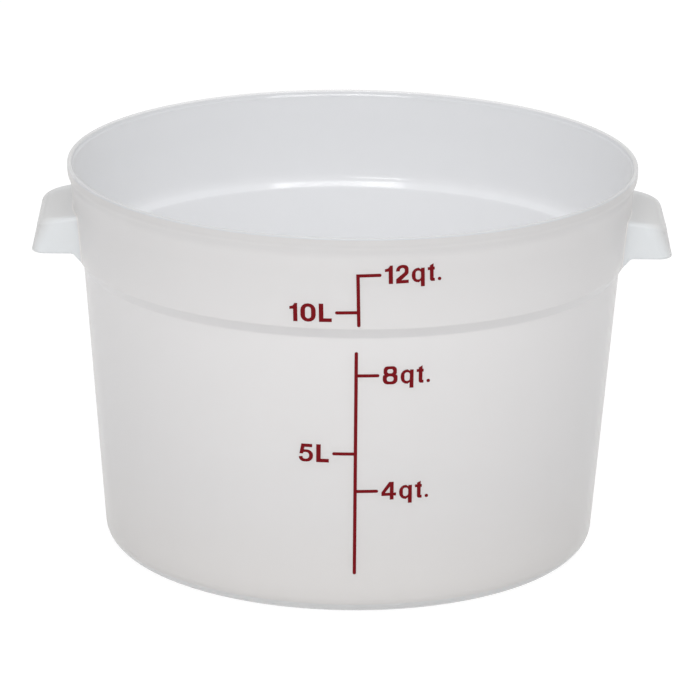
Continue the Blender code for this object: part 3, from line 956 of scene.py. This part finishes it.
ink = printing_ink()
for mark in marks:
    mark.data.materials.clear()
    mark.data.materials.append(ink)
print(f"scale ink: on {len(marks)} marks")

# %% [markdown]
# ## White surroundings
#
# The photograph's background is plain white. A brighter lamp would give that, but it would bleach the tub
# too. So the floor and the world are white only for rays that look at them: those from the camera, those
# that a gloss sends on, and those that go straight through the plastic. The rays that gather light from
# all sides meet a duller room.

# %% What a ray is for
RAYS = ("Is Camera Ray", "Is Glossy Ray", "Is Transmission Ray", "Is Diffuse Ray")


def looking(wire):
    """1 for rays that look at a thing, and 0 for those that gather light."""
    seen, glossy, transmitted, gathering = (wire.node("ShaderNodeLightPath", output=ray) for ray in RAYS)
    return wire.math("MAXIMUM", wire.math("MAXIMUM", seen, glossy), transmitted * (1 - gathering))


# %% [markdown]
# ## The dome
#
# For such a photograph, light comes from all around through white cloth. A picture of a studio would give
# that with its own colours and bright spots. A plain white world gives it evenly, so the tub's own tones
# stay as they are written.

# %% The dome
DOME_STRENGTH = 0.60


def make_dome():
    """A world of one grey that is white for rays that look at it."""
    world = bpy.data.worlds.new("dome")
    world.use_nodes = True
    world.node_tree.nodes.clear()
    wire = Wire(world.node_tree)
    strength = looking(wire) * (1 - DOME_STRENGTH) + DOME_STRENGTH
    dome = wire.node("ShaderNodeBackground", {}, {"Color": WHITE, "Strength": strength})
    wire.node("ShaderNodeOutputWorld", {}, {"Surface": dome})
    return world


bpy.context.scene.world = make_dome()
print(f"dome: strength {DOME_STRENGTH}")

# %% [markdown]
# ## The floor
#
# The tub stands on white paper that runs on out of the picture. For rays that look at it, it is mostly a
# glow, so that it meets the white behind without a line, and partly paper, so that the tub's soft shadow
# stays. For rays that gather light it is a pale grey, which throws a little light back up on the foot of
# the tub.

# %% The floor
FLOOR_SIZE = 14.0
FLOOR_DROP = 0.2 * MM
FLOOR_COLOR = 0.62
SEEN_WHITE = 0.80
GLOW_STRENGTH = 1.10


def white_paper():
    """The floor's material: a glow over white paper where it is looked at, and pale grey elsewhere."""
    paper, wire = new_material("floor_paper")
    lit = wire.node("ShaderNodeBsdfDiffuse", {}, {"Color": grey(FLOOR_COLOR)})
    shade = wire.node("ShaderNodeBsdfDiffuse", {}, {"Color": WHITE})
    glow = wire.node("ShaderNodeEmission", {}, {"Color": WHITE, "Strength": GLOW_STRENGTH})
    seen = blended(wire, SEEN_WHITE, shade, glow)
    wire.node("ShaderNodeOutputMaterial", {}, {"Surface": blended(wire, looking(wire), lit, seen)})
    return paper


bpy.ops.mesh.primitive_plane_add(size=FLOOR_SIZE, location=(0, 0, -FLOOR_DROP))
floor = bpy.context.object
floor.name = "floor"
floor.data.materials.append(white_paper())
print(f"floor: {FLOOR_SIZE:.0f} m wide")

# %% [markdown]
# ## The lamps
#
# Three soft lamps give the tub its form. The front lamp, a little to the left, lifts the near wall. The
# key lamp is a long, narrow bar higher up, so that its reflection in the two small slopes is long and
# thin. The top lamp, behind and above, is weak and only opens up the inside. A sun lamp would be simpler,
# but its reflection is a point, and the slopes would show a dot instead of a line.

# %% The lamps
FRONT_LAMP = {"place": (-0.6, -2.55, 1.40), "width": 1.2, "height": 0.30, "watts": 16.5}
KEY_LAMP = {"place": (0.22, -1.785, 2.43), "width": 2.6, "height": 0.22, "watts": 29.0}
TOP_LAMP = {"place": (0.0, 1.2, 2.5), "width": 0.7, "height": 0.7, "watts": 3.0}
TUB_MIDDLE = Vector((0, 0, HEIGHT / 2))


def soft_lamp(name, place, width, height, watts):
    """A lamp with a broad face that is turned to the tub's middle."""
    lamp = bpy.data.objects.new(name, bpy.data.lights.new(name, "AREA"))
    lamp.data.shape = "RECTANGLE"
    lamp.data.size = width
    lamp.data.size_y = height
    lamp.data.energy = watts
    lamp.location = place
    lamp.rotation_euler = (Vector(place) - TUB_MIDDLE).to_track_quat("Z", "Y").to_euler()
    bpy.context.scene.collection.objects.link(lamp)
    print(f"{name}: {width} by {height} m, {watts} W")


soft_lamp("front_lamp", **FRONT_LAMP)
soft_lamp("key_lamp", **KEY_LAMP)
soft_lamp("top_lamp", **TOP_LAMP)

# %% [markdown]
# ## Riding on the frame
#
# Nothing on the tub moves by itself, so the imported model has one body. The moulding stands for the packed
# tub, and each mark for its stand-in. The Standard view shows colours as they are written, where a filmic
# one would grey the whites.

# %% Bodies, slots and the look of colours
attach(tub, "root")
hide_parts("tub")
for mark in marks:
    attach(mark, "root")
bpy.context.scene.view_settings.view_transform = "Standard"
print(f"riding: {1 + len(marks)} pieces")
